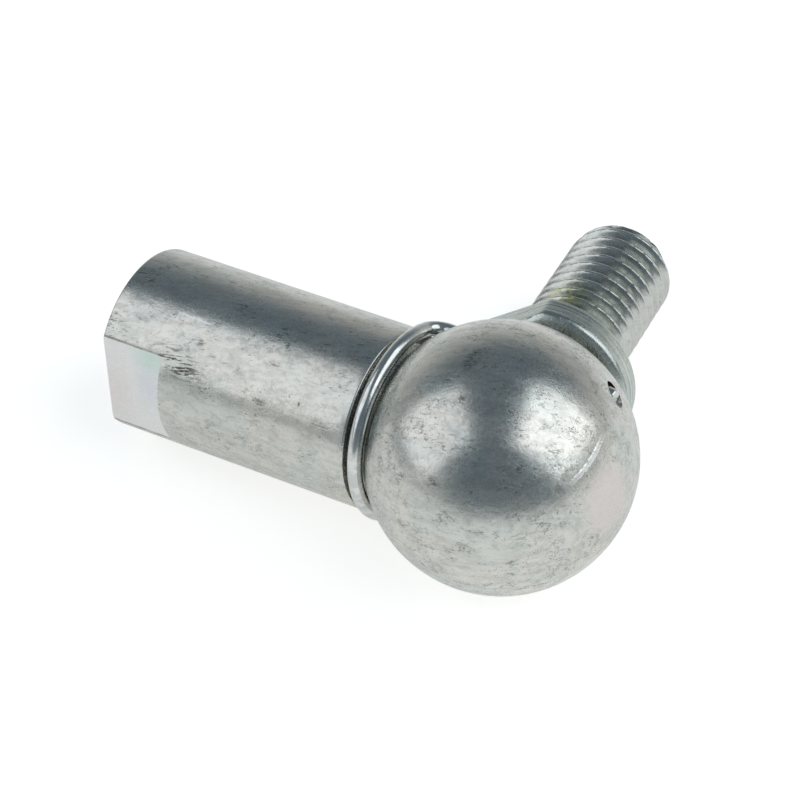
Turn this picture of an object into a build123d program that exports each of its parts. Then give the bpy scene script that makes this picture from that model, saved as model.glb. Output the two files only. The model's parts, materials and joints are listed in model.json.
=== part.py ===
from build123d import *
import os
from math import acos, asin, atan2, cos, degrees, hypot, radians, sin, sqrt, tan

# Angle ball joint for M8 linkages: a round socket with a tapped shank, a ball stud that swivels in it,
# a snap ring that holds the ball in, and a spring wire safety clip. All sizes are in millimetres.
# Each piece is built round the ball's centre, with the shank along -X, the mouth towards +Y and +Z up.
# The whole joint is then laid down as it comes to rest on a flat surface.

# ball, and the round head that holds it
ball_d = 13.0
ball_clearance = 0.05        # radial, between the ball and its seat
head_d = 19.0
head_shift = 0.3             # head's centre, ahead of the ball's
mouth_h = 6.0                # ball centre to the flat round the mouth
mouth_chamfer = 0.3

# shank
shank_d = 13.2
shank_len = 29.0             # ball centre to the shank's end
shank_edge = 0.15            # rounding of the edge at both ends
across_flats = 11.0
flat_len = 5.1
tap_drill_d = 6.8            # for M8 x 1.25
tap_depth = 16.0
tap_countersink_d = 8.4
drill_point_deg = 118.0

# groove round the neck, where the safety clip sits
neck_d = 11.0
neck_end = 8.4               # ball centre to the shank's shoulder

# ball stud
stem_d = 7.0
stem_len = 7.65              # ball centre to where the stem opens out to the collar
collar_d = 12.5
collar_start = 9.1           # ball centre to the collar's full diameter
collar_flats = 10.9          # across the collar's two flats
collar_flat_deg = 60.0       # turn of the flats from the shank's line
seat_h = 11.1                # ball centre to the face that a lever is clamped on
thread_d = 7.94
thread_pitch = 1.25
plain_neck_d = 8.0           # between the seat and the first groove
plain_neck_len = 0.9         # at least
thread_chamfer = 0.45
stud_len = 26.5              # ball centre to the stud's end

# snap ring, in a groove between the ball's widest line and the clip's legs
ring_wire_d = 1.0
ring_h = 2.0                 # ball centre to the ring's plane
ring_gap_deg = 34.0
ring_clearance = 0.05        # between the ring and the ball
groove_d = 14.7
groove_w = 1.1

# safety clip: a loop round the neck, with two legs that pass over the ball in drilled holes
clip_wire_d = 1.05
clip_clearance = 0.06        # between a leg and the ball
clip_plane = 7.51            # ball centre to the loop's plane
clip_loop_r = 6.68
clip_loop_shift = 0.3        # loop's centre, towards the mouth
clip_leg_deg = 36.6          # a leg's place round the shank's line, from +Z and from -Z
clip_corner_r = 7.13         # shank's line to the bend between the loop and a leg
clip_bend_r = 1.3
clip_bow_r = 8.0             # the leg's slight bend over the ball
clip_tip_x = 7.2             # ball centre to the legs' ends
clip_tip_r = 6.4             # shank's line to the legs' ends
clip_hole_d = 1.4
clip_hole_r = 6.93           # shank's line to the hole, beside the ball's centre
clip_hole_slope = 3.0        # degrees that the hole closes in towards the front

# how the joint lies: the stud is swivelled a little in its seat
stud_lean = 10.9             # degrees, towards the shank
stud_droop = 4.55            # degrees, downwards

ball_r = ball_d / 2
seat_r = ball_r + ball_clearance
head_r = head_d / 2
shank_r = shank_d / 2
thread_r = thread_d / 2
clip_wire_r = clip_wire_d / 2


def beside_shank(x, r):
    """Point at a distance r from the shank's line, in the plane of the clip's upper leg."""
    return Vector(x, r * sin(radians(clip_leg_deg)), r * cos(radians(clip_leg_deg)))


def mirrored(point):
    """The same point on the lower side."""
    return Vector(point.X, point.Y, -point.Z)


def make_ball_socket():
    """Head, neck and shank, turned from one bar, then bored, tapped and cross-drilled."""
    turned_outline = Polyline(
        (-shank_len, 0),
        (-shank_len, shank_r),
        (-neck_end, shank_r),
        (-neck_end, neck_d / 2),
        (0, neck_d / 2),
        (0, 0),
        close=True,
    )
    turned_section = make_face(turned_outline)
    turned_section = fillet(turned_section.vertices().group_by(Axis.Y)[-1], shank_edge)
    socket = revolve(turned_section, Axis.X) + Pos(head_shift, 0, 0) * Sphere(head_r)

    flat_depth = (shank_d - across_flats) / 2
    for side in (1, -1):
        flat_middle = Pos(-shank_len + flat_len / 2, side * (across_flats + flat_depth) / 2, 0)
        socket -= flat_middle * Box(flat_len, flat_depth, shank_d)

    above_mouth = head_r - mouth_h
    socket -= Pos(head_shift, mouth_h + above_mouth / 2, 0) * Box(head_d, above_mouth, head_d)
    bore_outline = Polyline(
        (0, 0),
        (seat_r, 0),
        (seat_r, mouth_h - mouth_chamfer),
        (seat_r + mouth_chamfer, mouth_h),
        (0, mouth_h),
        close=True,
    )
    socket -= Sphere(seat_r) + revolve(make_face(bore_outline), Axis.Y)
    socket -= Pos(0, ring_h, 0) * Rot(90, 0, 0) * Cylinder(groove_d / 2, groove_w)

    tap_r = tap_drill_d / 2
    countersink_r = tap_countersink_d / 2
    drill_point = tap_r / tan(radians(drill_point_deg / 2))
    tap_outline = Polyline(
        (-shank_len, 0),
        (-shank_len, countersink_r),
        (-shank_len + countersink_r - tap_r, tap_r),
        (-shank_len + tap_depth, tap_r),
        (-shank_len + tap_depth + drill_point, 0),
        close=True,
    )
    socket -= revolve(make_face(tap_outline), Axis.X)

    hole_spread = head_r * tan(radians(clip_hole_slope))
    hole_back = beside_shank(-head_r, clip_hole_r + hole_spread)
    hole_front = beside_shank(head_r, clip_hole_r - hole_spread)
    for start, end in ((hole_back, hole_front), (mirrored(hole_back), mirrored(hole_front))):
        hole_plane = Plane((start + end) / 2, z_dir=end - start)
        socket -= hole_plane * Cylinder(clip_hole_d / 2, (end - start).length)
    return socket


def make_snap_ring():
    """An open ring of round wire, which runs over the ball in its groove."""
    ring_r = sqrt((ball_r + ring_clearance + ring_wire_d / 2) ** 2 - ring_h ** 2)
    ring_section = Pos(ring_r, ring_h, 0) * Circle(ring_wire_d / 2)
    return Rot(0, ring_gap_deg / 2, 0) * revolve(ring_section, Axis.Y, 360 - ring_gap_deg)


def make_safety_clip():
    """A U of spring wire round the neck, whose ends are bent forward into two legs."""
    corner = beside_shank(-clip_plane, clip_corner_r)
    bow = beside_shank(0, ball_r + clip_clearance + clip_wire_r)
    tip = beside_shank(clip_tip_x, clip_tip_r)

    # the loop runs straight into the corner, along a tangent
    corner_y = corner.Y - clip_loop_shift
    arc_end_angle = atan2(corner_y, corner.Z) - acos(clip_loop_r / hypot(corner_y, corner.Z))
    arc_end_y = clip_loop_shift + clip_loop_r * sin(arc_end_angle)
    arc_end = Vector(-clip_plane, arc_end_y, clip_loop_r * cos(arc_end_angle))
    loop_back = Vector(-clip_plane, clip_loop_shift - clip_loop_r, 0)

    upper_leg = (tip, bow, corner, arc_end)
    lower_leg = (mirrored(point) for point in upper_leg)
    bends = [clip_bow_r, clip_bend_r]
    wire_line = FilletPolyline(*upper_leg, radius=bends)
    wire_line += ThreePointArc(arc_end, loop_back, mirrored(arc_end))
    wire_line += FilletPolyline(*lower_leg, radius=bends)
    return sweep(Plane(tip, z_dir=bow - tip) * Circle(clip_wire_r), path=wire_line)


# the swivelled stud's own direction
stud_x = -sin(radians(stud_lean))
stud_z = -sin(radians(stud_droop))
stud_dir = Vector(stud_x, sqrt(1 - stud_x ** 2 - stud_z ** 2), stud_z)


def make_ball_stud():
    """Ball, stem, collar and pin, turned from one bar, with two flats milled on the collar.

    The pin's 60 degree thread is given as ring grooves at the thread's pitch, without its lead.
    """
    crest = thread_pitch / 8
    root = thread_pitch / 4
    flank = (thread_pitch - crest - root) / 2
    root_r = thread_r - flank / tan(radians(30))
    last_crest = stud_len - thread_chamfer - crest
    groove_count = int((last_crest - seat_h - plain_neck_len) / thread_pitch)
    grooves = []
    for count in range(groove_count, 0, -1):
        groove_start = last_crest - count * thread_pitch
        grooves += [
            (thread_r, groove_start + crest),
            (root_r, groove_start + crest + flank),
            (root_r, groove_start + crest + flank + root),
            (thread_r, groove_start + thread_pitch),
        ]
    outline = Polyline(
        (0, 0),
        (stem_d / 2, 0),
        (stem_d / 2, stem_len),
        (collar_d / 2, collar_start),
        (collar_d / 2, seat_h),
        (plain_neck_d / 2, seat_h),
        (plain_neck_d / 2, seat_h + plain_neck_len),
        (thread_r, seat_h + plain_neck_len),
        *grooves,
        (thread_r, stud_len - thread_chamfer),
        (thread_r - thread_chamfer, stud_len),
        (0, stud_len),
        close=True,
    )
    stud = Sphere(ball_r) + revolve(make_face(outline), Axis.Y)
    flat_depth = (collar_d - collar_flats) / 2
    flat_h = seat_h - stem_len
    for side in (1, -1):
        flat_middle = Pos(side * (collar_flats + flat_depth) / 2, stem_len + flat_h / 2, 0)
        stud -= Rot(0, collar_flat_deg, 0) * flat_middle * Box(flat_depth, flat_h, collar_d)
    swivel_axis = Axis((0, 0, 0), Vector(0, 1, 0).cross(stud_dir))
    return stud.rotate(swivel_axis, degrees(acos(stud_dir.Y)))


nodes = {
    "ball_socket": make_ball_socket(),
    "snap_ring": make_snap_ring(),
    "safety_clip": make_safety_clip(),
    "ball_stud": make_ball_stud(),
}

# It rests on the head, on the rounded edge of the shank's end and on the edge of the stud's end.
shank_edge_x = shank_len - shank_edge + head_shift
shank_edge_y = shank_r - shank_edge
shank_pitch = asin((head_r - shank_edge) / hypot(shank_edge_x, shank_edge_y))
shank_pitch -= atan2(shank_edge_y, shank_edge_x)
ball_h = head_r - head_shift * sin(shank_pitch)
stud_edge_y = stud_len - thread_chamfer
stud_pitch = asin(ball_h / hypot(stud_edge_y, thread_r)) - atan2(thread_r, stud_edge_y)
stud_fall = (sin(stud_pitch) + stud_dir.X * sin(shank_pitch)) / cos(shank_pitch)
roll = -asin(stud_fall / hypot(stud_dir.Y, stud_dir.Z)) - atan2(stud_dir.Z, stud_dir.Y)

laid = {}
for name, piece in nodes.items():
    laid[name] = piece.rotate(Axis.X, degrees(roll)).rotate(Axis.Y, -degrees(shank_pitch))

# origin on the ground, under the middle of the whole joint
outer_box = Compound(list(laid.values())).bounding_box()
to_origin = (-outer_box.center().X, -outer_box.center().Y, ball_h)

os.makedirs("parts", exist_ok=True)
for name, piece in laid.items():
    placed = piece.translate(to_origin)
    placed.label = name
    export_step(placed, "parts/" + name + ".step")
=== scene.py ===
import json
from math import acos, atan2, ceil, cos, hypot, pi, radians, sin, sqrt, tan

import bpy
import numpy as np
from mathutils import Matrix, Vector


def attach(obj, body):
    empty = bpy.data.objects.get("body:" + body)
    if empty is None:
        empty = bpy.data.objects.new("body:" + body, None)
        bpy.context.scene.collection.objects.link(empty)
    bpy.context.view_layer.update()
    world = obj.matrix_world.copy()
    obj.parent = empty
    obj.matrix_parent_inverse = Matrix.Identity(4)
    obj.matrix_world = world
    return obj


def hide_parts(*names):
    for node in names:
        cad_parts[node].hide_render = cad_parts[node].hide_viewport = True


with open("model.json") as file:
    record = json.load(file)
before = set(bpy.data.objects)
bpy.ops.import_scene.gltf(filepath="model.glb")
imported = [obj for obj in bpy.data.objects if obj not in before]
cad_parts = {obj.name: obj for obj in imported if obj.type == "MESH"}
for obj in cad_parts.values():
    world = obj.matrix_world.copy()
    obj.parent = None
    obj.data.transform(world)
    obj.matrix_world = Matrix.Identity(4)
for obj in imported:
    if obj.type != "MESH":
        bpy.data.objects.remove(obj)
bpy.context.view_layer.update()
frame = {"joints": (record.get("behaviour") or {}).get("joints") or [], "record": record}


# ---------------------------------------------------------------------------------------------------
# Ball socket. The round head, neck and shank are turned from one steel bar, bored for the ball, tapped
# M8 from the end and cross-drilled for the safety clip's legs. Two wrench flats are milled on the shank.
# Bright zinc plate covers it: a satin metal, cloudy and pitted, rubbed dark beside the flats.

MM = 0.001
joints = {joint["name"]: joint for joint in frame["joints"]}
mounts = {mount["name"]: mount for mount in frame["record"]["mounts"]}

# the joint's own axes: the ball's centre, the shank along -X and the mouth towards +Y
ball_centre = Vector(joints["ring_turn"]["pos_m"])
mouth_dir = Vector(joints["ring_turn"]["axis"]).normalized()
shank_line = -Vector(mounts["rod_thread"]["axis"]).normalized()
joint_turn = Matrix((shank_line, mouth_dir, shank_line.cross(mouth_dir))).transposed().to_4x4()
joint_place = Matrix.Translation(ball_centre) @ joint_turn


def arc(centre, radius, start_deg, end_deg, step_mm):
    """Points of an outline's arc, as (along, out) pairs in mm."""
    steps = max(2, ceil(abs(radians(end_deg - start_deg)) * radius / step_mm))
    turns = np.radians(np.linspace(start_deg, end_deg, steps + 1))
    return [(centre[0] + radius * cos(t), centre[1] + radius * sin(t)) for t in turns]


def line(start, end, step_mm):
    """Points of an outline's straight line, without its end."""
    steps = max(1, ceil(hypot(end[0] - start[0], end[1] - start[1]) / step_mm))
    return [
        (start[0] + (end[0] - start[0]) * i / steps, start[1] + (end[1] - start[1]) * i / steps)
        for i in range(steps)
    ]


def lathe(outline, angles, shape=None):
    """Vertices and faces of an outline of (along, out) turned about X, from pole to pole, in mm.
    shape gives each vertex's distance from the axis, from (along, out, angles)."""
    vertices = [(outline[0][0], 0.0, 0.0)]
    for along, out in outline[1:-1]:
        reach = shape(along, out, angles) if shape else np.full(len(angles), out)
        vertices += [(along, r * cos(a), r * sin(a)) for a, r in zip(angles, reach)]
    vertices.append((outline[-1][0], 0.0, 0.0))
    count, rings = len(angles), len(outline) - 2
    faces = [(0, 1 + (j + 1) % count, 1 + j) for j in range(count)]
    for i in range(rings - 1):
        base, above = 1 + i * count, 1 + (i + 1) * count
        for j in range(count):
            after = (j + 1) % count
            faces.append((base + j, base + after, above + after, above + j))
    last, base = len(vertices) - 1, 1 + (rings - 1) * count
    faces += [(last, base + j, base + (j + 1) % count) for j in range(count)]
    return vertices, faces


def mesh_object(name, vertices, faces, place=None):
    """A mesh object from vertices in mm, with its outward side found."""
    mesh = bpy.data.meshes.new(name)
    mesh.from_pydata([[c * MM for c in v] for v in vertices], [], faces)
    mesh.validate()
    volume = sum(
        mesh.vertices[p.vertices[0]].co.dot(
            mesh.vertices[p.vertices[1]].co.cross(mesh.vertices[p.vertices[2]].co)
        )
        for p in mesh.polygons
    )
    if volume < 0:
        mesh.flip_normals()
    if place is not None:
        mesh.transform(place)
    piece = bpy.data.objects.new(name, mesh)
    bpy.context.scene.collection.objects.link(piece)
    return piece


def thread_depth(along, angles, root, depth):
    """How far a right-hand thread's surface lies below its crests, at one place along the axis. Crest
    and root are shares of the pitch, and the flanks between them are slightly rounded."""
    phase = np.mod(along / thread_pitch - np.asarray(angles) / (2 * pi), 1.0)
    climb = np.abs(2 * phase - 1)
    sunk = np.clip((climb - thread_crest) / (1 - thread_crest - root), 0, 1)
    return depth * (0.55 * sunk + 0.45 * sunk * sunk * (3 - 2 * sunk))


def milled(reach, angles, half, edge):
    """The reach, cut by two flats that lie half from the axis, with their long edges rounded off."""
    gap = half / np.maximum(np.abs(np.cos(angles)), 0.3) - reach
    round_off = np.clip(0.5 - 0.5 * gap / edge, 0, 1)
    return reach + round_off * gap - edge * round_off * (1 - round_off)


# sizes in mm, in the joint's own axes
shank_end, shank_r, shank_edge = -29.0, 6.6, 0.15
flat_start, flat_half, flat_side, flat_edge = -23.9, 5.5, 3.65, 0.06
shoulder, neck_r, neck_fillet = -8.4, 5.5, 0.12
head_shift, head_r = 0.3, 9.497
bore_r, tap_major, tap_bottom = 3.4, 4.02, -13.0
tap_sink, tap_sink_r, tap_runout, tap_fade = 0.8, 4.16, 0.8, 1.2
thread_pitch, thread_crest, tap_root = 1.25, 0.125, 0.28

neck_start = head_shift - sqrt(head_r ** 2 - neck_r ** 2)
head_angle = 180 - np.degrees(np.arcsin(neck_r / head_r))
drill_point = tan(radians(59))
drill_tip = tap_bottom + bore_r / drill_point
socket_outline = [(drill_tip, 0.0)]
socket_outline += line((drill_tip - 0.1, 0.1 * drill_point), (tap_bottom, bore_r), 0.5)
socket_outline += line((tap_bottom, bore_r), (shank_end + tap_sink, bore_r), 0.1)
socket_outline += line((shank_end + tap_sink, bore_r), (shank_end + 0.04, tap_sink_r), 0.1)
socket_outline += [(shank_end + 0.01, tap_sink_r + 0.03), (shank_end, tap_sink_r + 0.07)]
socket_outline += line((shank_end, 4.4), (shank_end, 5.2), 0.4)
socket_outline += line((shank_end, 5.2), (shank_end, shank_r - shank_edge), 0.12)
socket_outline += arc((shank_end + shank_edge, shank_r - shank_edge), shank_edge, 180, 90, 0.05)
socket_outline += line((shank_end + 0.3, shank_r), (flat_start - 0.02, shank_r), 0.35)
socket_outline += [(flat_start - 0.02, shank_r), (flat_start, shank_r), (flat_start + 0.03, shank_r)]
socket_outline += line((flat_start + 0.2, shank_r), (shoulder - shank_edge, shank_r), 0.5)
socket_outline += arc((shoulder - shank_edge, shank_r - shank_edge), shank_edge, 90, 0, 0.05)
socket_outline += line((shoulder, shank_r - shank_edge - 0.1), (shoulder, neck_r + neck_fillet), 0.3)
socket_outline += arc((shoulder + neck_fillet, neck_r + neck_fillet), neck_fillet, 180, 270, 0.05)
socket_outline += line((shoulder + neck_fillet + 0.1, neck_r), (neck_start, neck_r), 0.2)
socket_outline += arc((head_shift, 0.0), head_r, head_angle, 0, 0.32)

# places round the shank: even steps, with closer ones at the flats' long edges
socket_angles = set(np.round(np.linspace(0, 2 * pi, 181)[:-1], 6))
flat_corner = acos(flat_half / shank_r)
for side in (0, pi):
    for offset in (-0.02, -0.008, 0.0, 0.008, 0.02):
        for corner in (-flat_corner, flat_corner):
            socket_angles.add(round((side + corner + offset) % (2 * pi), 6))
socket_angles = np.array(sorted(socket_angles))


def socket_reach(along, out, angles):
    """Distance from the shank's line, with the wrench flats and the tapped hole's thread."""
    reach = np.full(len(angles), out)
    in_hole = out <= tap_sink_r + 0.07
    if in_hole and shank_end < along < tap_bottom - 0.01:
        fade = np.clip((tap_bottom - tap_runout - along) / tap_fade, 0, 1)
        depth = tap_major - bore_r
        cut = depth - thread_depth(along, angles, tap_root, depth)
        reach = np.maximum(reach, np.minimum(bore_r + fade * cut, tap_major))
    if not in_hole and along <= flat_start:
        reach = milled(reach, angles, flat_half, flat_edge)
    return reach


vertices, faces = lathe(socket_outline, socket_angles, socket_reach)
socket = mesh_object("socket_housing", vertices, faces)


def cutter(name, outline, place):
    """A turned tool for cutting a piece."""
    vertices, faces = lathe(outline, np.linspace(0, 2 * pi, 145)[:-1])
    return mesh_object(name, vertices, faces, place)


def cut(piece, tool):
    """Cuts the tool's shape out of the piece."""
    difference = piece.modifiers.new("cut", "BOOLEAN")
    difference.operation = "DIFFERENCE"
    difference.solver = "EXACT"
    difference.object = tool
    bpy.context.view_layer.update()
    result = bpy.data.meshes.new_from_object(piece.evaluated_get(bpy.context.evaluated_depsgraph_get()))
    piece.modifiers.clear()
    piece.data = result
    bpy.data.objects.remove(tool)


seat_r, mouth_h, mouth_chamfer = 6.55, 6.0, 0.3
groove_r, groove_low, groove_high = 7.35, 1.45, 2.55
seat_outline = arc((0.0, 0.0), seat_r, 180, 90, 0.35)
seat_outline += line((0.2, seat_r), (groove_low, seat_r), 0.4)
seat_outline += [(groove_low, seat_r), (groove_low, groove_r), (groove_high, groove_r), (groove_high, seat_r)]
seat_outline += line((groove_high + 0.2, seat_r), (mouth_h - mouth_chamfer, seat_r), 0.6)
seat_outline += [(mouth_h - mouth_chamfer, seat_r), (mouth_h, seat_r + mouth_chamfer), (mouth_h, 12.0)]
seat_outline += [(12.0, 12.0), (12.0, 0.0)]
seat_outline[0] = (-seat_r, 0.0)
x_to_y = Matrix(((0, 1, 0), (1, 0, 0), (0, 0, -1))).to_4x4()
cut(socket, cutter("seat_tool", seat_outline, x_to_y))

clip_leg = radians(36.6)
hole_r, hole_d, hole_slope, drill_half = 6.93, 1.4, radians(3.0), 9.5


def beside_shank(x, r, side=1):
    """Point at a distance r from the shank's line, in the plane of one of the clip's legs."""
    return Vector((x, r * sin(clip_leg), side * r * cos(clip_leg)))


for side in (1, -1):
    closing = drill_half * tan(hole_slope)
    start = beside_shank(-drill_half, hole_r + closing, side)
    run = beside_shank(drill_half, hole_r - closing, side) - start
    drill_outline = [(0.0, 0.0), (0.0, hole_d / 2), (run.length, hole_d / 2), (run.length, 0.0)]
    aim = Vector((1, 0, 0)).rotation_difference(run).to_matrix().to_4x4()
    cut(socket, cutter("clip_drill", drill_outline, Matrix.Translation(start * MM) @ aim))


def shade(piece, sharp_deg):
    """Smooth shading, with edges sharper than that angle kept."""
    piece.data.shade_smooth()
    piece.data.set_sharp_from_angle(angle=radians(sharp_deg))


socket.data.transform(joint_place)
shade(socket, 32)


def linear(hex_colour):
    """An sRGB hex colour as a linear RGBA colour."""
    parts = [int(hex_colour[i : i + 2], 16) / 255 for i in (0, 2, 4)]
    return [p / 12.92 if p <= 0.04045 else ((p + 0.055) / 1.055) ** 2.4 for p in parts] + [1.0]


def node(tree, kind, inputs=None, **settings):
    """Adds a node. inputs maps a socket's name or number to a value, or to what is linked to it: an
    output, or a node, which stands for its first output."""
    new = tree.nodes.new("ShaderNode" + kind)
    for name, value in settings.items():
        setattr(new, name, value)
    for name, value in (inputs or {}).items():
        if isinstance(value, bpy.types.Node):
            value = value.outputs[0]
        if isinstance(value, bpy.types.NodeSocket):
            tree.links.new(value, new.inputs[name])
        else:
            new.inputs[name].default_value = value
    return new


def stretched(tree, place, size_mm, turn=(0, 0, 0)):
    """Coordinates in which a feature of that size in millimetres is one unit."""
    turned = node(tree, "Mapping", {"Vector": place, "Rotation": turn}, vector_type="POINT")
    scale = [1 / (size * MM) for size in size_mm]
    return node(tree, "Mapping", {"Vector": turned, "Scale": scale}, vector_type="POINT")


def grain(tree, place, size_mm, detail=3.0, roughness=0.55, turn=(0, 0, 0), distortion=0.0):
    """An irregular pattern from 0 to 1, whose largest features have that size in millimetres."""
    inputs = {
        "Vector": stretched(tree, place, size_mm, turn),
        "Scale": 1.0,
        "Detail": detail,
        "Roughness": roughness,
        "Distortion": distortion,
    }
    return node(tree, "TexNoise", inputs)


def patch(tree, place, middle_mm, reach_mm, turn=(0, 0, 0), edge=0.55):
    """A soft-edged patch, 1 in its middle and 0 outside its reach along the turned axes."""
    shifted = node(tree, "VectorMath", {0: place, 1: [-c * MM for c in middle_mm]}, operation="ADD")
    unit = stretched(tree, shifted, reach_mm, turn)
    distance = node(tree, "VectorMath", {0: unit}, operation="LENGTH").outputs["Value"]
    return node(tree, "MapRange", {0: distance, 1: 1.0, 2: edge}, interpolation_type="SMOOTHSTEP")


def only_where(tree, cover, value, low, high, least=0.0, most=1.0):
    """The cover, faded by another value: it keeps least of itself at low and most at high."""
    inputs = {0: value, 1: low, 2: high, 3: least, 4: most}
    share = node(tree, "MapRange", inputs, interpolation_type="SMOOTHSTEP")
    return node(tree, "Math", {0: cover, 1: share}, operation="MULTIPLY")


def covered(tree, colour, cover, amount, over_hex):
    """The colour, with another laid over it where cover is 1, as strongly as amount says."""
    share = node(tree, "Math", {0: cover, 1: amount}, operation="MULTIPLY")
    mixed = node(tree, "Mix", {0: share, 6: colour, 7: linear(over_hex)}, data_type="RGBA")
    return mixed.outputs[2]


def smoothed(tree, relief, cover, amount):
    """The relief, worn down by amount where cover is 1."""
    kept = node(tree, "Math", {0: cover, 1: -amount, 2: 1.0}, operation="MULTIPLY_ADD")
    return node(tree, "Math", {0: relief, 1: kept}, operation="MULTIPLY")


def thin_line(tree, value, level, reach, core):
    """A soft line where the value passes the level: 1 within core of it and 0 beyond reach."""
    offset = node(tree, "Math", {0: value, 1: level}, operation="SUBTRACT")
    distance = node(tree, "Math", {0: offset}, operation="ABSOLUTE")
    return node(tree, "MapRange", {0: distance, 1: reach, 2: core}, interpolation_type="SMOOTHSTEP")


def new_metal(name, own_axes):
    """A node material, its tree, and the place of a point in the piece's own axes."""
    material = bpy.data.materials.new(name)
    material.use_nodes = True
    tree = material.node_tree
    tree.nodes.clear()
    to_own = own_axes.inverted()
    inputs = {
        "Vector": node(tree, "TexCoord").outputs["Object"],
        "Location": to_own.translation,
        "Rotation": to_own.to_euler("XYZ"),
    }
    return material, tree, node(tree, "Mapping", inputs, vector_type="POINT")


def zinc_plate(name, own_axes, drag_mm, drag_turn):
    """Bright zinc plate over turned steel: satin, so that lights show as soft, broad glows, with fine
    drag marks of that size and direction."""
    material, tree, place = new_metal(name, own_axes)

    # cloudy plate, a little warmer and cooler from place to place, drawn out along the drag marks
    smear_mm = [size * 5 for size in drag_mm]
    clouds = grain(tree, place, smear_mm, detail=5, roughness=0.6, turn=drag_turn, distortion=0.4)
    tint = grain(tree, place, (4.5, 3.5, 3.5), detail=2, distortion=0.6)
    mottle = grain(tree, place, (0.9, 0.6, 0.6), detail=4, roughness=0.6, turn=drag_turn, distortion=0.8)
    cool = node(tree, "MapRange", {0: tint, 1: 0.35, 2: 0.65}, interpolation_type="SMOOTHSTEP")
    cloud = node(tree, "MapRange", {0: clouds, 1: 0.6, 2: 0.36}, interpolation_type="SMOOTHSTEP")
    blotch = node(tree, "MapRange", {0: mottle, 1: 0.5, 2: 0.32}, interpolation_type="SMOOTHSTEP")
    colour = covered(tree, linear("DEDBD4"), cool, 1.0, "D2D5D0")
    colour = covered(tree, colour, cloud, 0.5, "BBBAB3")
    colour = covered(tree, colour, blotch, 0.42, "ACADA7")

    # short dark drag marks and pits, crowded in some places
    drags = grain(tree, place, drag_mm, detail=3, roughness=0.62, turn=drag_turn, distortion=0.7)
    crowd = grain(tree, place, (2.2, 1.8, 1.8), detail=2)
    pit = node(tree, "Math", {0: crowd, 1: 0.55, 2: drags}, operation="MULTIPLY_ADD")
    pit = node(tree, "MapRange", {0: pit, 1: 0.905, 2: 1.015}, interpolation_type="SMOOTHSTEP")
    colour = covered(tree, colour, pit, 0.64, "4C4C48")

    # hair-thin dark creases, fewer behind the head, each where a slow pattern crosses its middle value
    crease = grain(tree, place, (1.7, 0.9, 0.9), detail=3, roughness=0.6, turn=drag_turn, distortion=0.45)
    crease = thin_line(tree, crease, 0.5, 0.017, 0.003)
    crease = only_where(tree, crease, crowd, 0.38, 0.53)
    lengthwise = node(tree, "SeparateXYZ", {0: place}).outputs["X"]
    crease = only_where(tree, crease, lengthwise, -9.5 * MM, -7.5 * MM, 0.3)
    crease = only_where(tree, crease, mottle, 0.6, 0.5)
    colour = covered(tree, colour, crease, 0.62, "62625C")

    # satin, with glossier and duller spots; the plate's crystals are finer, and are drawn at 0.2 mm to show
    grit = grain(tree, place, (0.2, 0.2, 0.2), detail=2, roughness=0.5)
    gloss = node(
        tree, "MapRange", {0: mottle, 1: 0.3, 2: 0.7, 3: 0.31, 4: 0.23}, interpolation_type="SMOOTHSTEP"
    )
    speckle = node(
        tree, "MapRange", {0: grit, 1: 0.3, 2: 0.7, 3: -0.03, 4: 0.03}, interpolation_type="SMOOTHSTEP"
    )
    gloss = node(tree, "Math", {0: gloss, 1: speckle}, operation="ADD")
    relief = node(tree, "Math", {0: mottle, 1: 1.1}, operation="MULTIPLY")
    relief = node(tree, "Math", {0: grit, 1: 0.14, 2: relief}, operation="MULTIPLY_ADD")
    relief = node(tree, "Math", {0: pit, 1: -0.25, 2: relief}, operation="MULTIPLY_ADD")
    relief = node(tree, "Math", {0: crease, 1: -0.3, 2: relief}, operation="MULTIPLY_ADD")
    return material, tree, place, colour, gloss, relief


def finish_metal(tree, colour, gloss, relief, height_mm):
    """Makes the metal's surface from its colour, roughness and relief, and ends the material."""
    bump = node(tree, "Bump", {"Height": relief, "Distance": height_mm * MM, "Strength": 1.0})
    inputs = {"Base Color": colour, "Metallic": 1.0, "Roughness": gloss, "Normal": bump}
    node(tree, "OutputMaterial", {"Surface": node(tree, "BsdfPrincipled", inputs)})


def dress(piece, material, body, cad_node):
    """Gives a piece its material and its body, and hides the CAD node that it stands for."""
    piece.data.materials.clear()
    piece.data.materials.append(material)
    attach(piece, body)
    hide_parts(cad_node)


drag_mm, drag_turn = (0.5, 0.13, 0.13), (0, 0, radians(-14))
plate = zinc_plate("zinc_plated_steel", joint_place, drag_mm, drag_turn)
material, tree, place, colour, gloss, relief = plate

# milled faces of the wrench flats: smooth, pale, with the thin colours of the passivation
socket_axes = node(tree, "SeparateXYZ", {0: place})
across = node(tree, "Math", {0: socket_axes.outputs["Y"]}, operation="ABSOLUTE")
sideways = node(tree, "Math", {0: socket_axes.outputs["Z"]}, operation="ABSOLUTE")
on_end = node(
    tree,
    "MapRange",
    {0: socket_axes.outputs["X"], 1: (flat_start + 0.04) * MM, 2: (flat_start - 0.04) * MM},
    interpolation_type="SMOOTHSTEP",
)
on_flat = only_where(tree, on_end, across, (flat_half + 0.05) * MM, (flat_half + 0.015) * MM)
on_flat = only_where(tree, on_flat, sideways, (flat_side + 0.01) * MM, (flat_side - 0.07) * MM)
hue = grain(tree, place, (3.2, 9.0, 4.0), detail=2)
hue = node(tree, "MapRange", {0: hue, 1: 0.3, 2: 0.7}, interpolation_type="SMOOTHSTEP")
green = patch(tree, place, (-25.0, -5.5, 2.9), (2.3, 2.0, 2.6), edge=0.0)
lavender = patch(tree, place, (-25.3, -5.5, 0.3), (2.0, 2.0, 3.2), edge=0.0)
pink = patch(tree, place, (-28.4, -5.5, -1.2), (2.4, 2.0, 4.6), edge=0.0)
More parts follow.
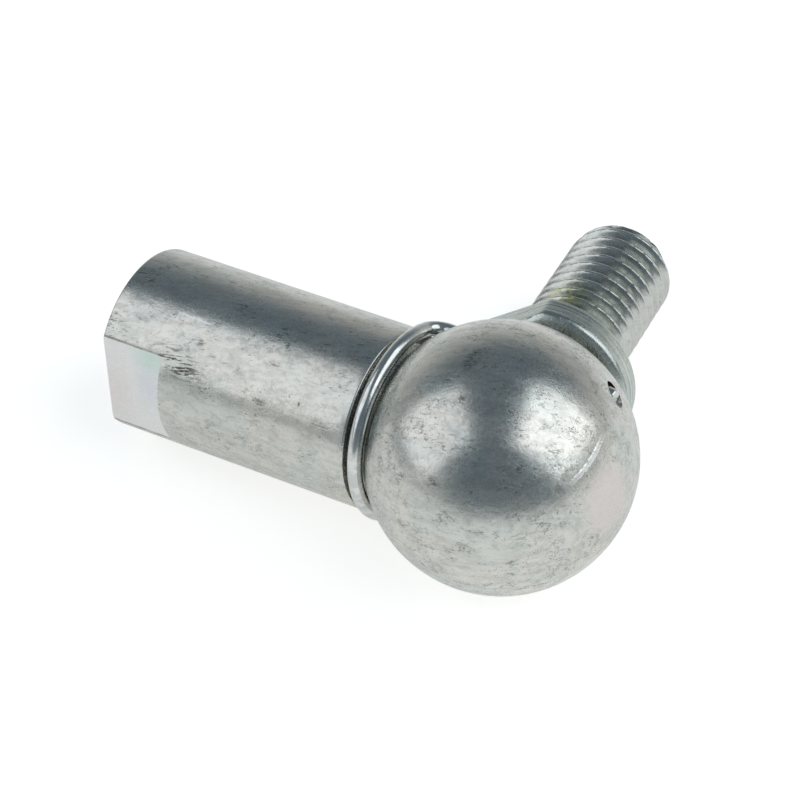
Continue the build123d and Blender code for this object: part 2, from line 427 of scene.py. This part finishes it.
sheen = covered(tree, linear("F2F0EC"), hue, 1.0, "EEEEEF")
sheen = covered(tree, sheen, green, 0.9, "D4E8DE")
sheen = covered(tree, sheen, lavender, 0.8, "E4E4EC")
sheen = covered(tree, sheen, pink, 0.8, "ECE5E2")
on_flat_share = node(tree, "Math", {0: on_flat, 1: 0.9}, operation="MULTIPLY")
colour = node(tree, "Mix", {0: on_flat_share, 6: colour, 7: sheen}, data_type="RGBA").outputs[2]
gloss = node(tree, "Math", {0: on_flat, 1: 0.04, 2: gloss}, operation="MULTIPLY_ADD")
relief = smoothed(tree, relief, on_flat, 0.75)

# dirt left along the flats' long edges
broken = grain(tree, place, (0.9, 0.3, 0.3), detail=4, roughness=0.7)
edge_line = thin_line(tree, sideways, (flat_side + 0.03) * MM, 0.14 * MM, 0.03 * MM)
edge_line = node(tree, "Math", {0: edge_line, 1: on_end}, operation="MULTIPLY")
edge_line = only_where(tree, edge_line, across, (flat_half - 0.5) * MM, (flat_half - 0.2) * MM)
edge_line = only_where(tree, edge_line, broken, 0.35, 0.6, 0.35)
colour = covered(tree, colour, edge_line, 0.7, "5B5A55")

# dark scuff at the upper flat's inner corner: wavy scratches, thickest in the scuff's middle
scuff_turn, scratch_turn = (0, radians(-14), 0), (0, radians(12), 0)
scuff = patch(tree, place, (-22.5, -5.6, 3.5), (3.0, 2.4, 1.25), scuff_turn, edge=0.25)
core = patch(tree, place, (-22.0, -5.6, 3.4), (1.9, 2.0, 0.85), scuff_turn, edge=0.1)
worn = grain(tree, place, (0.55, 0.35, 0.35), detail=3, roughness=0.7, distortion=1.0)
scratches = grain(tree, place, (1.9, 0.22, 0.22), 4, 0.55, scratch_turn, distortion=0.7)
scratches = node(tree, "Math", {0: core, 1: 0.055, 2: scratches}, operation="MULTIPLY_ADD")
scuff_dark = only_where(tree, scuff, scratches, 0.52, 0.585)
scuff_dark = only_where(tree, scuff_dark, worn, 0.34, 0.48, 0.3)
colour = covered(tree, colour, scuff_dark, 0.95, "262623")
colour = covered(tree, colour, scuff, 0.15, "8B8C88")
relief = node(tree, "Math", {0: scuff_dark, 1: -0.5, 2: relief}, operation="MULTIPLY_ADD")

# single marks, as (middle, reach, darkness): faint rubs broken into fine lines, and a dark speck
marks = (
    ((-26.7, -4.0, 5.2), (0.6, 0.5, 0.2), 0.45),
    ((-25.7, -3.8, 5.4), (0.55, 0.5, 0.2), 0.45),
    ((-23.6, -4.2, 5.0), (0.45, 0.5, 0.22), 0.1),
    ((-21.2, -4.3, 4.9), (0.4, 0.5, 0.2), 0.1),
    ((-20.0, -4.8, 4.5), (0.5, 0.5, 0.25), 0.5),
    ((-18.7, -4.9, 4.4), (0.8, 0.5, 0.14), 0.4),
    ((-15.6, -5.9, 3.0), (0.9, 0.5, 0.3), 0.7),
    ((-15.2, -4.1, 5.1), (0.9, 0.5, 0.3), 0.65),
    ((-14.9, -2.8, 6.0), (0.26, 0.4, 0.36), 1.0),
    ((-12.4, -5.5, 3.7), (0.12, 0.5, 0.45), 0.9),
    ((-19.5, -6.6, 0.05), (0.5, 0.5, 0.5), 0.5),
    ((-0.5, -1.9, 9.3), (0.8, 1.6, 0.7), 0.85),
    ((0.3, -8.7, 3.9), (0.9, 0.6, 0.6), 0.75),
    ((0.1, -8.9, -3.2), (0.5, 0.6, 1.0), 0.65),
)
fine_lines = grain(tree, place, (0.55, 0.14, 0.14), detail=4, roughness=0.7, turn=(0, radians(14), 0))
for middle, reach, darkness in marks:
    mark = patch(tree, place, middle, reach, edge=0.1)
    mark = only_where(tree, mark, fine_lines, 0.42, 0.58, 0.12)
    colour = covered(tree, colour, mark, darkness, "3A3A38")

# fine bright scratch along the shank
scratch = patch(tree, place, (-22.7, -3.05, 5.85), (2.1, 0.5, 0.06), turn=(0, radians(-1.5), 0))
colour = covered(tree, colour, scratch, 0.8, "F2F4F4")

# smooth, pinkish rubbed patch on the front of the head, and a broken scuffed arc with a painted highlight
# over its upper side, where the head meets a plane that faces and lies as arc_facing and arc_depth say
rubbed = patch(tree, place, (9.6, -1.4, 0.9), (3.2, 2.6, 3.3), edge=0.6)
colour = covered(tree, colour, rubbed, 0.85, "DDD5D1")
relief = smoothed(tree, relief, rubbed, 0.75)
arc_facing, arc_depth = (-0.111, 0.351, -0.930), -5.55
arc_plane = node(tree, "VectorMath", {0: place, 1: arc_facing}, operation="DOT_PRODUCT")
scuff_highlight_arc = thin_line(tree, arc_plane.outputs["Value"], arc_depth * MM, 0.2 * MM, 0.07 * MM)
arc_side = patch(tree, place, (8.5, -2.0, 4.2), (1.8, 3.0, 1.8), edge=0.3)
scuff_highlight_arc = node(tree, "Math", {0: scuff_highlight_arc, 1: arc_side}, operation="MULTIPLY")
scuff_highlight_arc = only_where(tree, scuff_highlight_arc, broken, 0.38, 0.5)
# painted highlight: near-white colour laid along the scuffed arc
colour = covered(tree, colour, scuff_highlight_arc, 1.0, "FAFBFB")
relief = node(tree, "Math", {0: scuff_highlight_arc, 1: 1.2, 2: relief}, operation="MULTIPLY_ADD")
finish_metal(tree, colour, gloss, relief, 0.012)
dress(socket, material, "socket", "ball_socket")


# ---------------------------------------------------------------------------------------------------
# Ball stud. Ball, stem, collar and M8 pin are turned from one bar, with two flats milled on the collar.
# The thread is rolled after a short plain neck. The same bright zinc plate shows fine turning lines on
# the collar, and a yellow-green stain near the thread's start.

stud_dir = Vector(mounts["stud_thread"]["axis"]).normalized()
swivel = mouth_dir.rotation_difference(stud_dir).to_matrix().to_4x4()
stud_place = Matrix.Translation(ball_centre) @ swivel @ joint_turn @ x_to_y

ball_r, stem_r, stem_end = 6.5, 3.5, 7.65
collar_r, collar_low, seat_h = 6.25, 9.1, 11.1
collar_flat, collar_edge, collar_turn = 5.45, 0.08, radians(60)
thread_r, stud_root, thread_deep = 3.97, 0.2, 0.68
plain_neck, run_in, stud_end, stud_chamfer = 0.9, 1.3, 26.5, 0.45
stem_start = sqrt(ball_r ** 2 - stem_r ** 2)
stem_angle = np.degrees(np.arcsin(stem_r / ball_r))
stud_outline = arc((0.0, 0.0), ball_r, 180, stem_angle, 0.35)
stud_outline[0] = (-ball_r, 0.0)
stud_outline += line((stem_start + 0.2, stem_r), (stem_end, stem_r), 0.35)
stud_outline += line((stem_end, stem_r), (collar_low - 0.16, collar_r - 0.3), 0.25)
stud_outline += [(collar_low - 0.08, collar_r - 0.17), (collar_low + 0.02, collar_r - 0.08)]
stud_outline += [(collar_low + 0.14, collar_r - 0.03), (collar_low + 0.28, collar_r - 0.006)]
stud_outline += line((collar_low + 0.4, collar_r), (seat_h - 0.1, collar_r), 0.1)
stud_outline += arc((seat_h - 0.1, collar_r - 0.1), 0.1, 90, 0, 0.04)
stud_outline += line((seat_h, collar_r - 0.25), (seat_h, thread_r + 0.1), 0.5)
stud_outline += [(seat_h, thread_r + 0.06), (seat_h + 0.05, thread_r - 0.01)]
stud_outline += line((seat_h + 0.1, thread_r), (stud_end - stud_chamfer, thread_r), 0.045)
stud_outline += line((stud_end - stud_chamfer, thread_r), (stud_end - 0.02, thread_r - 0.43), 0.08)
stud_outline += [(stud_end, thread_r - 0.5), (stud_end, 2.4), (stud_end, 1.2), (stud_end, 0.0)]


def stud_reach(along, out, angles):
    """Distance from the stud's axis, with the collar's flats and the rolled thread."""
    reach = np.full(len(angles), out)
    if stem_end < along <= seat_h and out > thread_r + 0.2:
        reach = milled(reach, angles - collar_turn, collar_flat, collar_edge)
    if along > seat_h and out > thread_r - thread_deep:
        start = np.clip((along - seat_h - plain_neck) / run_in, 0, 1)
        groove = start * thread_depth(along, angles, stud_root, thread_deep)
        reach = np.minimum(reach, thread_r - groove)
    return reach


vertices, faces = lathe(stud_outline, np.linspace(0, 2 * pi, 181)[:-1], stud_reach)
stud = mesh_object("ball_stud_visual", vertices, faces, stud_place)
shade(stud, 40)

drag_mm, drag_turn = (0.12, 0.4, 0.4), (0, 0, 0)
plate = zinc_plate("zinc_plated_stud", stud_place, drag_mm, drag_turn)
material, tree, place, colour, gloss, relief = plate
stud_axes = node(tree, "SeparateXYZ", {0: place})
along = stud_axes.outputs["X"]

# cooler plate on the collar, with turning lines round its rim; real ones are finer, and are drawn
# 0.13 and 0.4 mm apart to show
under_seat = node(
    tree,
    "MapRange",
    {0: along, 1: (seat_h + 0.15) * MM, 2: (seat_h - 0.05) * MM},
    interpolation_type="SMOOTHSTEP",
)
whole_collar = only_where(tree, under_seat, along, (stem_end - 0.1) * MM, stem_end * MM)
on_rim = only_where(tree, under_seat, along, (collar_low - 0.15) * MM, (collar_low + 0.2) * MM)
lines = grain(tree, place, (0.13, 12.0, 12.0), detail=2, roughness=0.6)
broad_lines = grain(tree, place, (0.4, 14.0, 14.0), detail=1)
turning = node(tree, "Math", {0: lines, 1: 2.0}, operation="MULTIPLY")
turning = node(tree, "Math", {0: broad_lines, 1: 5.0, 2: turning}, operation="MULTIPLY_ADD")
turning = node(tree, "Math", {0: turning, 1: on_rim}, operation="MULTIPLY")
relief = node(tree, "Math", {0: turning, 1: 1.1, 2: relief}, operation="MULTIPLY_ADD")
worn = grain(tree, place, (1.2, 2.5, 2.5), detail=3, distortion=0.5)
dark_line = only_where(tree, on_rim, worn, 0.36, 0.6, 0.35)
dark_line = only_where(tree, dark_line, lines, 0.46, 0.58)
colour = covered(tree, colour, whole_collar, 0.75, "CAD3CD")
colour = covered(tree, colour, dark_line, 0.55, "5A6464")

# the rolled thread is smoother, cleaner and glossier than the turned surfaces
on_thread = node(
    tree,
    "MapRange",
    {0: along, 1: (seat_h + 0.3) * MM, 2: (seat_h + 1.3) * MM},
    interpolation_type="SMOOTHSTEP",
)
relief = smoothed(tree, relief, on_thread, 0.85)
gloss = node(tree, "Math", {0: on_thread, 1: -0.05, 2: gloss}, operation="MULTIPLY_ADD")
colour = covered(tree, colour, on_thread, 0.55, "D1D3CE")

# darker in the thread's roots
out_of_axis = node(tree, "CombineXYZ", {1: stud_axes.outputs["Y"], 2: stud_axes.outputs["Z"]})
out_of_axis = node(tree, "VectorMath", {0: out_of_axis}, operation="LENGTH").outputs["Value"]
in_root = node(
    tree,
    "MapRange",
    {0: out_of_axis, 1: (thread_r - 0.42) * MM, 2: (thread_r - 0.67) * MM},
    interpolation_type="SMOOTHSTEP",
)
in_root = only_where(tree, in_root, along, (seat_h + 0.5) * MM, (seat_h + 1.5) * MM)
colour = covered(tree, colour, in_root, 0.6, "5A5D58")

# painted shade: a darker, greenish colour along one side of the thread, where its reflections are duller,
# broken into patches; that side is also a little rougher
dull_side_shade = patch(tree, place, (19.0, 2.3, -3.2), (9.5, 2.0, 2.0), edge=0.3)
shade_patchiness = grain(tree, place, (1.6, 0.8, 0.8), detail=4, roughness=0.65, distortion=0.6)
dull_side_shade = only_where(tree, dull_side_shade, shade_patchiness, 0.34, 0.6, 0.35)
colour = covered(tree, colour, dull_side_shade, 0.62, "7A837C")
gloss = node(tree, "Math", {0: dull_side_shade, 1: 0.06, 2: gloss}, operation="MULTIPLY_ADD")

# yellow-green stain by the thread's start
stain = patch(tree, place, (16.0, -0.6, -3.7), (2.6, 2.4, 1.8), edge=0.2)
spread = grain(tree, place, (0.9, 0.7, 0.7), detail=4, roughness=0.7)
stain = only_where(tree, stain, spread, 0.36, 0.58)
colour = covered(tree, colour, stain, 0.75, "A3A65F")
finish_metal(tree, colour, gloss, relief, 0.012)
dress(stud, material, "stud", "ball_stud")


# ---------------------------------------------------------------------------------------------------
# Snap ring. An open ring of 1 mm drawn spring wire, let into a groove inside the mouth, where it runs
# over the ball's shoulder and holds it in. Its ends are cropped square.


def wire(name, points, radius, place, sides=28):
    """A round wire along the points, with cropped ends whose edges are slightly rounded."""
    spaced = [points[0]]
    for point in points[1:]:
        steps = max(1, ceil((point - spaced[-1]).length / 0.35))
        start = spaced[-1]
        spaced += [start.lerp(point, i / steps) for i in range(1, steps + 1)]
    inward = [(spaced[1] - spaced[0]).normalized(), (spaced[-2] - spaced[-1]).normalized()]
    crop = radius * 0.14
    spaced.insert(1, spaced[0] + inward[0] * crop)
    spaced.insert(-1, spaced[-1] + inward[1] * crop)
    scales = [0.86] + [1.0] * (len(spaced) - 2) + [0.86]
    heading = (spaced[1] - spaced[0]).normalized()
    across = heading.orthogonal().normalized()
    vertices, faces = [], []
    for i, (point, scale) in enumerate(zip(spaced, scales)):
        ahead = (spaced[min(i + 1, len(spaced) - 1)] - spaced[max(i - 1, 0)]).normalized()
        across = (heading.rotation_difference(ahead) @ across).normalized()
        heading = ahead
        other = heading.cross(across)
        for j in range(sides):
            turn = 2 * pi * j / sides
            vertices.append(point + (across * cos(turn) + other * sin(turn)) * radius * scale)
    for i in range(len(spaced) - 1):
        base = i * sides
        for j in range(sides):
            after = (j + 1) % sides
            faces.append((base + j, base + after, base + sides + after, base + sides + j))
    faces.append(tuple(reversed(range(sides))))
    faces.append(tuple(range(len(vertices) - sides, len(vertices))))
    piece = mesh_object(name, vertices, faces, place)
    shade(piece, 35)
    return piece


def drawn_wire(name, own_axes, colour_hex, dark_hex, roughness):
    """Drawn spring wire: glossy, so that lights run along it as narrow bands, with small dull spots."""
    material, tree, place = new_metal(name, own_axes)
    spots = grain(tree, place, (0.8, 0.8, 0.8), detail=4, roughness=0.65)
    fine = grain(tree, place, (0.12, 0.12, 0.12), detail=3)
    dull = node(tree, "MapRange", {0: spots, 1: 0.6, 2: 0.4}, interpolation_type="SMOOTHSTEP")
    colour = covered(tree, linear(colour_hex), dull, 0.6, dark_hex)
    gloss = node(
        tree,
        "MapRange",
        {0: spots, 1: 0.3, 2: 0.7, 3: roughness + 0.05, 4: roughness - 0.03},
        interpolation_type="SMOOTHSTEP",
    )
    relief = node(tree, "Math", {0: spots, 1: 0.6}, operation="MULTIPLY")
    relief = node(tree, "Math", {0: fine, 1: 0.3, 2: relief}, operation="MULTIPLY_ADD")
    finish_metal(tree, colour, gloss, relief, 0.004)
    return material


# its wire's middle is this far from the ball's centre, at this height towards the mouth
ring_from_ball, ring_h, ring_wire_r, half_gap_deg = 7.05, 2.0, 0.5, 17
ring_radius = sqrt(ring_from_ball ** 2 - ring_h ** 2)
ring_points = [
    Vector((ring_radius * cos(turn), ring_h, -ring_radius * sin(turn)))
    for turn in np.radians(np.linspace(half_gap_deg, 360 - half_gap_deg, 110))
]
snap_ring = wire("snap_ring_wire", ring_points, ring_wire_r, joint_place)
ring_metal = drawn_wire("spring_steel_ring", joint_place, "A9ABA8", "6F706C", 0.24)
dress(snap_ring, ring_metal, "ring", "snap_ring")


# ---------------------------------------------------------------------------------------------------
# Safety clip. One length of 1.05 mm spring wire: a loop in the groove round the neck, whose two ends
# are bent forward through the head's drilled holes and pass over the ball. Plated bright and glossy.

clip_wire_r, clip_plane = 0.525, -7.51
loop_r, loop_shift = 6.68, 0.3
corner_r, bow_r, tip_x, tip_r = 7.13, 7.085, 7.2, 6.4
bends = [8.0, 1.3]


def smooth_route(corners, radii, step_mm):
    """Points along a line through the corners, each inner one rounded to its radius, in mm."""
    points = [corners[0]]
    for before, corner, after, radius in zip(corners, corners[1:], corners[2:], radii):
        back, ahead = (before - corner).normalized(), (after - corner).normalized()
        half = back.angle(ahead) / 2
        reach = radius / tan(half)
        centre = corner + (back + ahead).normalized() * radius / sin(half)
        start, end = corner + back * reach, corner + ahead * reach
        from_centre, to_centre = start - centre, end - centre
        sweep = from_centre.angle(to_centre)
        steps = max(4, ceil(sweep * radius / step_mm))
        axis = from_centre.cross(to_centre)
        for i in range(steps + 1):
            points.append(centre + Matrix.Rotation(sweep * i / steps, 3, axis) @ from_centre)
    points.append(corners[-1])
    return points


for side in (1, -1):
    corner = beside_shank(clip_plane, corner_r, side)
    bow = beside_shank(0.0, bow_r, side)
    tip = beside_shank(tip_x, tip_r, side)
    corner_y = corner.y - loop_shift
    arc_end_turn = atan2(corner_y, abs(corner.z)) - acos(loop_r / hypot(corner_y, corner.z))
    arc_end_y = loop_shift + loop_r * sin(arc_end_turn)
    arc_end = Vector((clip_plane, arc_end_y, side * loop_r * cos(arc_end_turn)))
    leg = smooth_route([tip, bow, corner, arc_end], bends, 0.18)
    if side == 1:
        clip_points = leg
        for turn in np.linspace(arc_end_turn, -pi - arc_end_turn, 90)[1:-1]:
            point = (clip_plane, loop_shift + loop_r * sin(turn), loop_r * cos(turn))
            clip_points.append(Vector(point))
    else:
        clip_points += reversed(leg)
clip = wire("safety_clip_wire", clip_points, clip_wire_r, joint_place, sides=36)
clip_metal = drawn_wire("spring_steel_clip", joint_place, "E3E4E1", "C0C3C1", 0.2)
dress(clip, clip_metal, "socket", "safety_clip")


# ---------------------------------------------------------------------------------------------------
# Floor, lights and camera. A pale table under two large soft boxes, in a dim, slightly blue room. The
# camera looks down at the joint from its front.

def stage_floor():
    """A pale, matt table that the joint lies on."""
    half = 0.35
    corners = [(-half, -half, 0), (half, -half, 0), (half, half, 0), (-half, half, 0)]
    mesh = bpy.data.meshes.new("floor")
    mesh.from_pydata(corners, [], [(0, 1, 2, 3)])
    floor = bpy.data.objects.new("floor", mesh)
    bpy.context.scene.collection.objects.link(floor)
    material = bpy.data.materials.new("matt_white_table")
    material.use_nodes = True
    tree = material.node_tree
    tree.nodes.clear()

    # what the camera sees of it is nearly white, and the metal reflects it at a lower level, a little
    # brighter towards +X
    path = node(tree, "LightPath")
    seen = node(tree, "Math", {0: path.outputs["Is Camera Ray"], 1: 0.66}, operation="MULTIPLY")
    spot = node(tree, "TexCoord").outputs["Object"]
    spot_axes = node(tree, "SeparateXYZ", {0: spot})
    near = node(
        tree,
        "MapRange",
        {0: spot_axes.outputs["X"], 1: -0.05, 2: 0.06, 3: 0.34, 4: 0.46},
        interpolation_type="SMOOTHSTEP",
    )
    far = node(
        tree,
        "MapRange",
        {0: spot_axes.outputs["X"], 1: -0.1, 2: 0.1, 3: 0.3, 4: 0.38},
        interpolation_type="SMOOTHSTEP",
    )
    distance = node(tree, "VectorMath", {0: spot}, operation="LENGTH").outputs["Value"]
    away = node(tree, "MapRange", {0: distance, 1: 0.02, 2: 0.12}, interpolation_type="SMOOTHSTEP")
    level = node(tree, "Mix", {0: away, 2: near, 3: far}, data_type="FLOAT")
    reflected = node(tree, "Math", {0: path.outputs["Is Glossy Ray"], 1: level}, operation="MULTIPLY")
    strength = node(tree, "Math", {0: seen, 1: reflected}, operation="ADD")
    glow = node(tree, "Emission", {"Strength": strength})
    matt = node(tree, "BsdfDiffuse", {"Color": linear("ECEBE7")})
    both = node(tree, "AddShader", {0: matt, 1: glow})
    node(tree, "OutputMaterial", {"Surface": both})
    mesh.materials.append(material)


stage_floor()


def soft_box(name, azimuth_deg, elevation_deg, distance, width, height, radiance, colour):
    """A rectangular soft light aimed at the joint, in metres, with its azimuth counted from +X."""
    turn, rise = radians(azimuth_deg), radians(elevation_deg)
    towards = Vector((cos(turn) * cos(rise), sin(turn) * cos(rise), sin(rise)))
    light = bpy.data.lights.new(name, "AREA")
    light.shape = "RECTANGLE"
    light.size, light.size_y = width, height
    light.energy = radiance * pi * width * height
    light.color = colour
    lamp = bpy.data.objects.new(name, light)
    aim = towards.to_track_quat("Z", "Y").to_matrix().to_4x4()
    lamp.matrix_world = Matrix.Translation(towards * distance) @ aim
    bpy.context.scene.collection.objects.link(lamp)
    lamp.visible_camera = False


soft_box("left_soft_box", -143.5, 36, 0.6, 0.58, 0.62, 0.87, (0.99, 1.0, 1.02))
soft_box("right_soft_box", 17, 44, 0.6, 0.66, 0.62, 1.35, (0.98, 1.0, 1.02))

# the room is pale behind the joint and at its front left, low down, and grey-blue elsewhere
world = bpy.data.worlds.new("dim_room")
bpy.context.scene.world = world
world.use_nodes = True
tree = world.node_tree
tree.nodes.clear()
path = node(tree, "LightPath")
direction = node(tree, "SeparateXYZ", {0: node(tree, "TexCoord").outputs["Generated"]})
low = node(tree, "MapRange", {0: direction.outputs["Z"], 1: 0.62, 2: 0.02}, interpolation_type="SMOOTHSTEP")
behind = node(
    tree,
    "MapRange",
    {0: direction.outputs["Y"], 1: -0.35, 2: 0.35, 3: 0.12, 4: 1.0},
    interpolation_type="SMOOTHSTEP",
)
front = node(
    tree, "MapRange", {0: direction.outputs["Y"], 1: -0.5, 2: -0.88}, interpolation_type="SMOOTHSTEP"
)
front_left = only_where(tree, front, direction.outputs["X"], 0.05, -0.35, 0.0, 0.7)
wall = node(tree, "Math", {0: behind, 1: front_left}, operation="MAXIMUM")
wall = node(tree, "Math", {0: low, 1: wall}, operation="MULTIPLY")
room_colour = covered(tree, linear("616E78"), wall, 1.0, "BCBEBD")
room = node(tree, "Background", {"Color": room_colour, "Strength": 1.0})
white = node(tree, "Background", {"Color": (1, 1, 1, 1), "Strength": 1.0})
seen = node(tree, "MixShader", {0: path.outputs["Is Camera Ray"], 1: room, 2: white})
node(tree, "OutputWorld", {"Surface": seen})

eye = Vector((98.466, -154.12, 192.649)) * MM
target = Vector((2.794, -9.578, 12.332)) * MM
lens = bpy.data.cameras.new("camera")
lens.lens = 164.511
lens.sensor_width = 36.0
lens.clip_start = 0.01
camera = bpy.data.objects.new("camera", lens)
roll = Matrix.Rotation(radians(-2.482), 4, "Z")
facing = (eye - target).to_track_quat("Z", "Y").to_matrix().to_4x4()
camera.matrix_world = Matrix.Translation(eye) @ facing @ roll
bpy.context.scene.collection.objects.link(camera)
bpy.context.scene.camera = camera
bpy.context.scene.view_settings.view_transform = "Standard"

bpy.context.view_layer.update()
